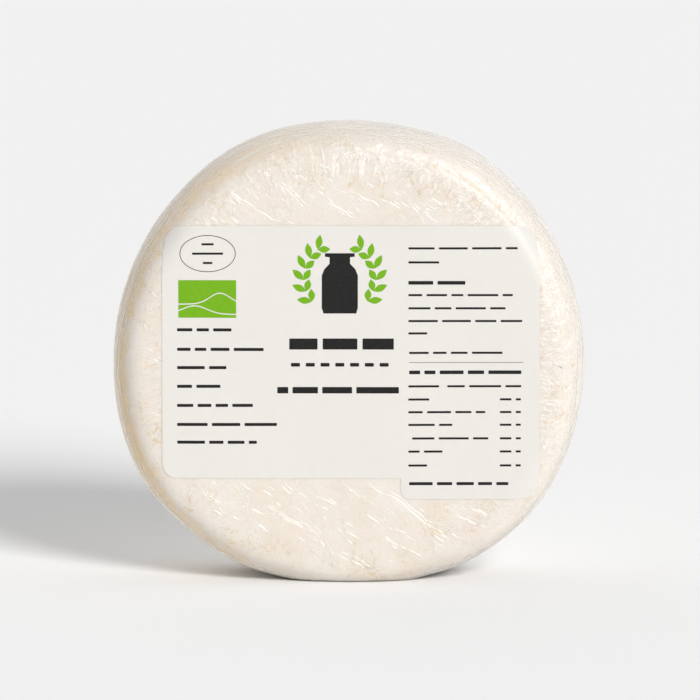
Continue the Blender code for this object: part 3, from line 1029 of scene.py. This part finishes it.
class Creases:
    """Collects the strips of one piece."""

    def __init__(self):
        self.verts, self.faces = [], []

    def lay(self, line, width, slope, dice, side=FRONT):
        """Lays a crease along these flat points, with flanks this steep. It thins out at both ends."""
        across = len(CREASE_SECTION)
        for index, point in enumerate(line):
            ahead = line[min(index + 1, len(line) - 1)] - line[max(index - 1, 0)]
            sideways = Vector((-ahead.y, ahead.x)).normalized()
            size = math.sin(math.pi * (index + 0.15) / (len(line) - 0.7)) ** 0.5 * dice.uniform(0.75, 1.1)
            pressed_flat = side == FRONT and under_label(point.x, point.y)
            tall = width / 2 * slope * size * (UNDER_LABEL if pressed_flat else 1)
            for offset, rise in CREASE_SECTION:
                flat = point + sideways * offset * width / 2 * size
                place, normal = on_film(flat.x, flat.y, side)
                there = place + normal * (CREASE_LIFT + rise * tall)
                there.z = max(there.z, foot_height(there.y))
                self.verts.append(there)
            if index:
                start = len(self.verts) - 2 * across
                for first in range(start, start + across - 1):
                    quad = (first, first + across, first + across + 1, first + 1)
                    self.faces.append(quad if side == FRONT else quad[::-1])


def polar(reach, angle):
    """The flat point this far from the wheel's middle in this direction."""
    return Vector((reach * math.cos(angle), reach * math.sin(angle)))


def straight_line(start, heading, length, wander, dice):
    """Flat points along a crease that starts here and wanders a little."""
    steps = max(4, round(length / CREASE_STEP))
    line = [start]
    for _ in range(steps):
        kink = dice.choice((-1, 1)) * KINK if dice.random() < KINK_CHANCE else 0
        heading += dice.gauss(0, wander)
        line.append(line[-1] + polar(length / steps, heading + kink))
    return line


def ring_line(start_angle, turn, start_reach, end_reach, sway, dice):
    """Flat points along a crease that runs round the wheel."""
    steps = max(6, round(abs(turn) * start_reach / (2 * CREASE_STEP)))
    phase = dice.uniform(0, 6)
    line = []
    for step in range(steps + 1):
        share = step / steps
        reach = start_reach + (end_reach - start_reach) * share + sway * math.sin(5 * share + phase)
        line.append(polar(reach, start_angle + turn * share))
    return line


# The fold that runs down below the label, as two creases side by side
FOLD = ((-12.3, -26.9, -97, 13.0), (-11.2, -26.9, -97, 12.0))
# The long creases of the front in mm, right of and above the middle: (x, z, degrees, length)
LONG_CREASES = (
    (-19.0, 48.0, -52, 9.5), (-30.0, 44.0, -47, 9.0), (-27.5, 39.0, -60, 7.5), (-17.0, 42.8, -48, 9.0),
    (-8.6, 44.5, -44, 10.0), (-13.5, 46.5, -58, 6.0), (2.0, 40.5, -40, 6.5), (12.0, 39.0, -36, 7.0),
    (20.5, 41.0, -50, 5.5), (-34.5, 38.5, -52, 4.5), (27.0, 37.5, -40, 5.0), (-3.0, 38.0, -46, 4.5),
    (-1.5, -27.6, -33, 21.0), (4.2, -27.8, -29, 24.0), (16.0, -36.5, -24, 19.5), (-27.2, -27.5, -62, 13.5),
    (-19.5, -33.0, -40, 12.0), (-36.0, -29.0, -30, 7.0), (10.0, -41.5, -38, 9.0),
    (-8.0, -39.5, -55, 9.0), (24.0, -35.0, -22, 12.0), (-25.5, -40.5, -48, 8.5), (18.5, -33.5, -25, 10.0),
    (13.0, -32.5, -58, 5.0), (-4.5, -31.0, -42, 9.0), (-8.1, -30.7, -31, 4.3), (-11.2, -32.2, -48, 3.8),
    (-2.2, -35.0, -58, 8.2), (-16.2, -28.1, -34, 3.5), (22.7, -32.1, -16, 11.4), (-3.8, -44.0, -36, 8.0),
    (-22.0, -36.0, -50, 5.0), (-31.0, -31.5, -40, 6.0), (-17.3, 47.5, -65, 5.4), (-9.6, 49.5, -35, 6.5),
    (-7.3, 43.8, -58, 5.6), (-27.8, 35.5, -48, 3.7), (-47.2, 18.9, -54, 5.3), (-21.0, 36.5, -40, 4.5),
    (7.5, 39.2, -38, 4.2), (15.4, 36.6, -50, 3.0),
)
creases = Creases()
dice = random.Random(11)
for x, z, degrees, length in LONG_CREASES + FOLD:
    heading = math.radians(degrees)
    line = straight_line(Vector((x, z)) * MM, heading, length * MM * 1.25, 0.10, dice)
    creases.lay(line, dice.uniform(0.25, 0.36) * MM, dice.uniform(0.38, 0.48), dice)
    twin = Vector((-math.sin(heading), math.cos(heading))) * dice.uniform(0.5, 1.2) * MM
    part = line[dice.randint(0, 6):]
    if dice.random() < 0.45 and len(part) > 5:
        creases.lay([point + twin for point in part], 0.22 * MM, dice.uniform(0.34, 0.48), dice)
    for _ in range(dice.randint(1, 3)):
        fork = dice.choice(line[1:-1])
        turned_off = heading + math.radians(dice.choice((-1, 1)) * dice.uniform(10, 32))
        twig = straight_line(fork, turned_off, length * MM * dice.uniform(0.2, 0.5), 0.14, dice)
        creases.lay(twig, 0.22 * MM, dice.uniform(0.32, 0.50), dice)
print("long creases:", len(creases.faces), "faces")

# %% [markdown]
# Between the long creases are hundreds of short ones. On the face they follow the same pull. At the
# shoulder they spread in small fans that open towards the face, like crumpled foil, and round the wall they
# run along the rim. The back has its own, which point at the gather in its middle.

# %% Add the short creases
FACE_CREASES = 800
SHOULDER_CREASES = 240
SHOULDER_FANS = 110
WALL_CREASES = 170
BACK_CREASES = 150
PULL = -40  # degrees: the way that the film is pulled over the faces
# Ranges of each kind's length and width in mm and of its flanks' slope, and how much it wanders
Kind = namedtuple("Kind", "lengths widths slopes wander")
ON_FACE = Kind((1.2, 4.5), (0.18, 0.30), (0.28, 0.50), 0.22)
ON_SHOULDER = Kind((1.0, 3.6), (0.22, 0.34), (0.2, 0.5), 0.25)
IN_FAN = Kind((1.2, 4.2), (0.22, 0.32), (0.2, 0.5), 0.16)
AT_GATHER = Kind((5, 16), (0.4, 0.7), (0.3, 0.55), 0.05)


def lay_short(kind, start, heading, side):
    """Lays a straight crease of this kind."""
    line = straight_line(start, heading, dice.uniform(*kind.lengths) * MM, kind.wander, dice)
    creases.lay(line, dice.uniform(*kind.widths) * MM, dice.uniform(*kind.slopes), dice, side)



for _ in range(FACE_CREASES):
    for side in (FRONT, BACK):
        reach, angle = 46 * MM * math.sqrt(dice.random()), dice.uniform(-math.pi, math.pi)
        start = polar(reach, angle)
        if side == FRONT and under_label(*start):
            continue
        lay_short(ON_FACE, start, math.radians(dice.gauss(PULL, 17)), side)
for _ in range(SHOULDER_CREASES):
    side = dice.choice((FRONT, FRONT, BACK))
    reach, angle = dice.gauss(48.5, 3.2) * MM, dice.uniform(-math.pi, math.pi)
    heading = angle + math.radians(dice.choice((0, 180)) + dice.gauss(0, 35))
    lay_short(ON_SHOULDER, polar(reach, angle), heading, side)
for _ in range(SHOULDER_FANS):
    side = dice.choice((FRONT, FRONT, BACK))
    reach, angle = dice.gauss(49.5, 2.0) * MM, dice.uniform(-math.pi, math.pi)
    opening = angle + math.radians(180 + dice.gauss(0, 35))
    for _ in range(dice.randint(4, 8)):
        heading = opening + math.radians(dice.uniform(-48, 48))
        lay_short(IN_FAN, polar(reach, angle) + polar(0.3 * MM, heading), heading, side)
for _ in range(WALL_CREASES):
    reach, turn = dice.uniform(53, 83) * MM, math.radians(dice.uniform(8, 34))
    start, end_reach = dice.uniform(-math.pi, math.pi), reach + dice.gauss(0, 1.6) * MM
    line = ring_line(start, turn, reach, end_reach, dice.uniform(0, 0.5) * MM, dice)
    creases.lay(line, dice.uniform(0.3, 0.5) * MM, dice.uniform(0.25, 0.5), dice)
print("with the short creases:", len(creases.faces), "faces")

# %% [markdown]
# At the back the film was drawn together, so creases run in from all round to the middle. They end the
# piece, which is one mesh, because together they are one thing: the folds of the same film.

# %% Gather the film at the back
for number in range(BACK_CREASES):
    angle = 2 * math.pi * number / BACK_CREASES + dice.gauss(0, 0.03)
    reach = dice.uniform(5, 30) * MM
    lay_short(AT_GATHER, polar(reach, angle), angle, BACK)

mesh = bpy.data.meshes.new("film_creases")
mesh.from_pydata(creases.verts, [], creases.faces)
mesh.shade_smooth()
creased = bpy.data.objects.new("film_creases", mesh)
bpy.context.scene.collection.objects.link(creased)
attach(creased, "root")
mesh.calc_loop_triangles()
print("all creases:", len(mesh.loop_triangles), "triangles")

# %% [markdown]
# A crease is the same film as the rest, but folded sharply, so it is glossy and clear with a little more
# milk in it where the plastic was stressed. It is one layer thick, so it mirrors a little less than the
# film that it lies on.

# %% Finish the creases
folded, tree = empty_material("creased clear cling film")
place = add(tree, "TexCoord").outputs["Object"]
stress = add(tree, "TexNoise", {"Vector": place, "Scale": 1 / (1.2 * MM), "Detail": 2.0})
stressed = add(tree, "MapRange", {0: stress, 1: 0.4, 2: 0.7, 3: 0.03, 4: 0.2})
gloss = add(tree, "BsdfGlossy", {"Color": linear("ffffff"), "Roughness": 0.27})
join_layers(tree, stressed, "f6f4f0", gloss, FACE_ON_MIRROR * 0.8, 0.6, 0.0)
creased.data.materials.append(folded)
print("creases are finished like the film")
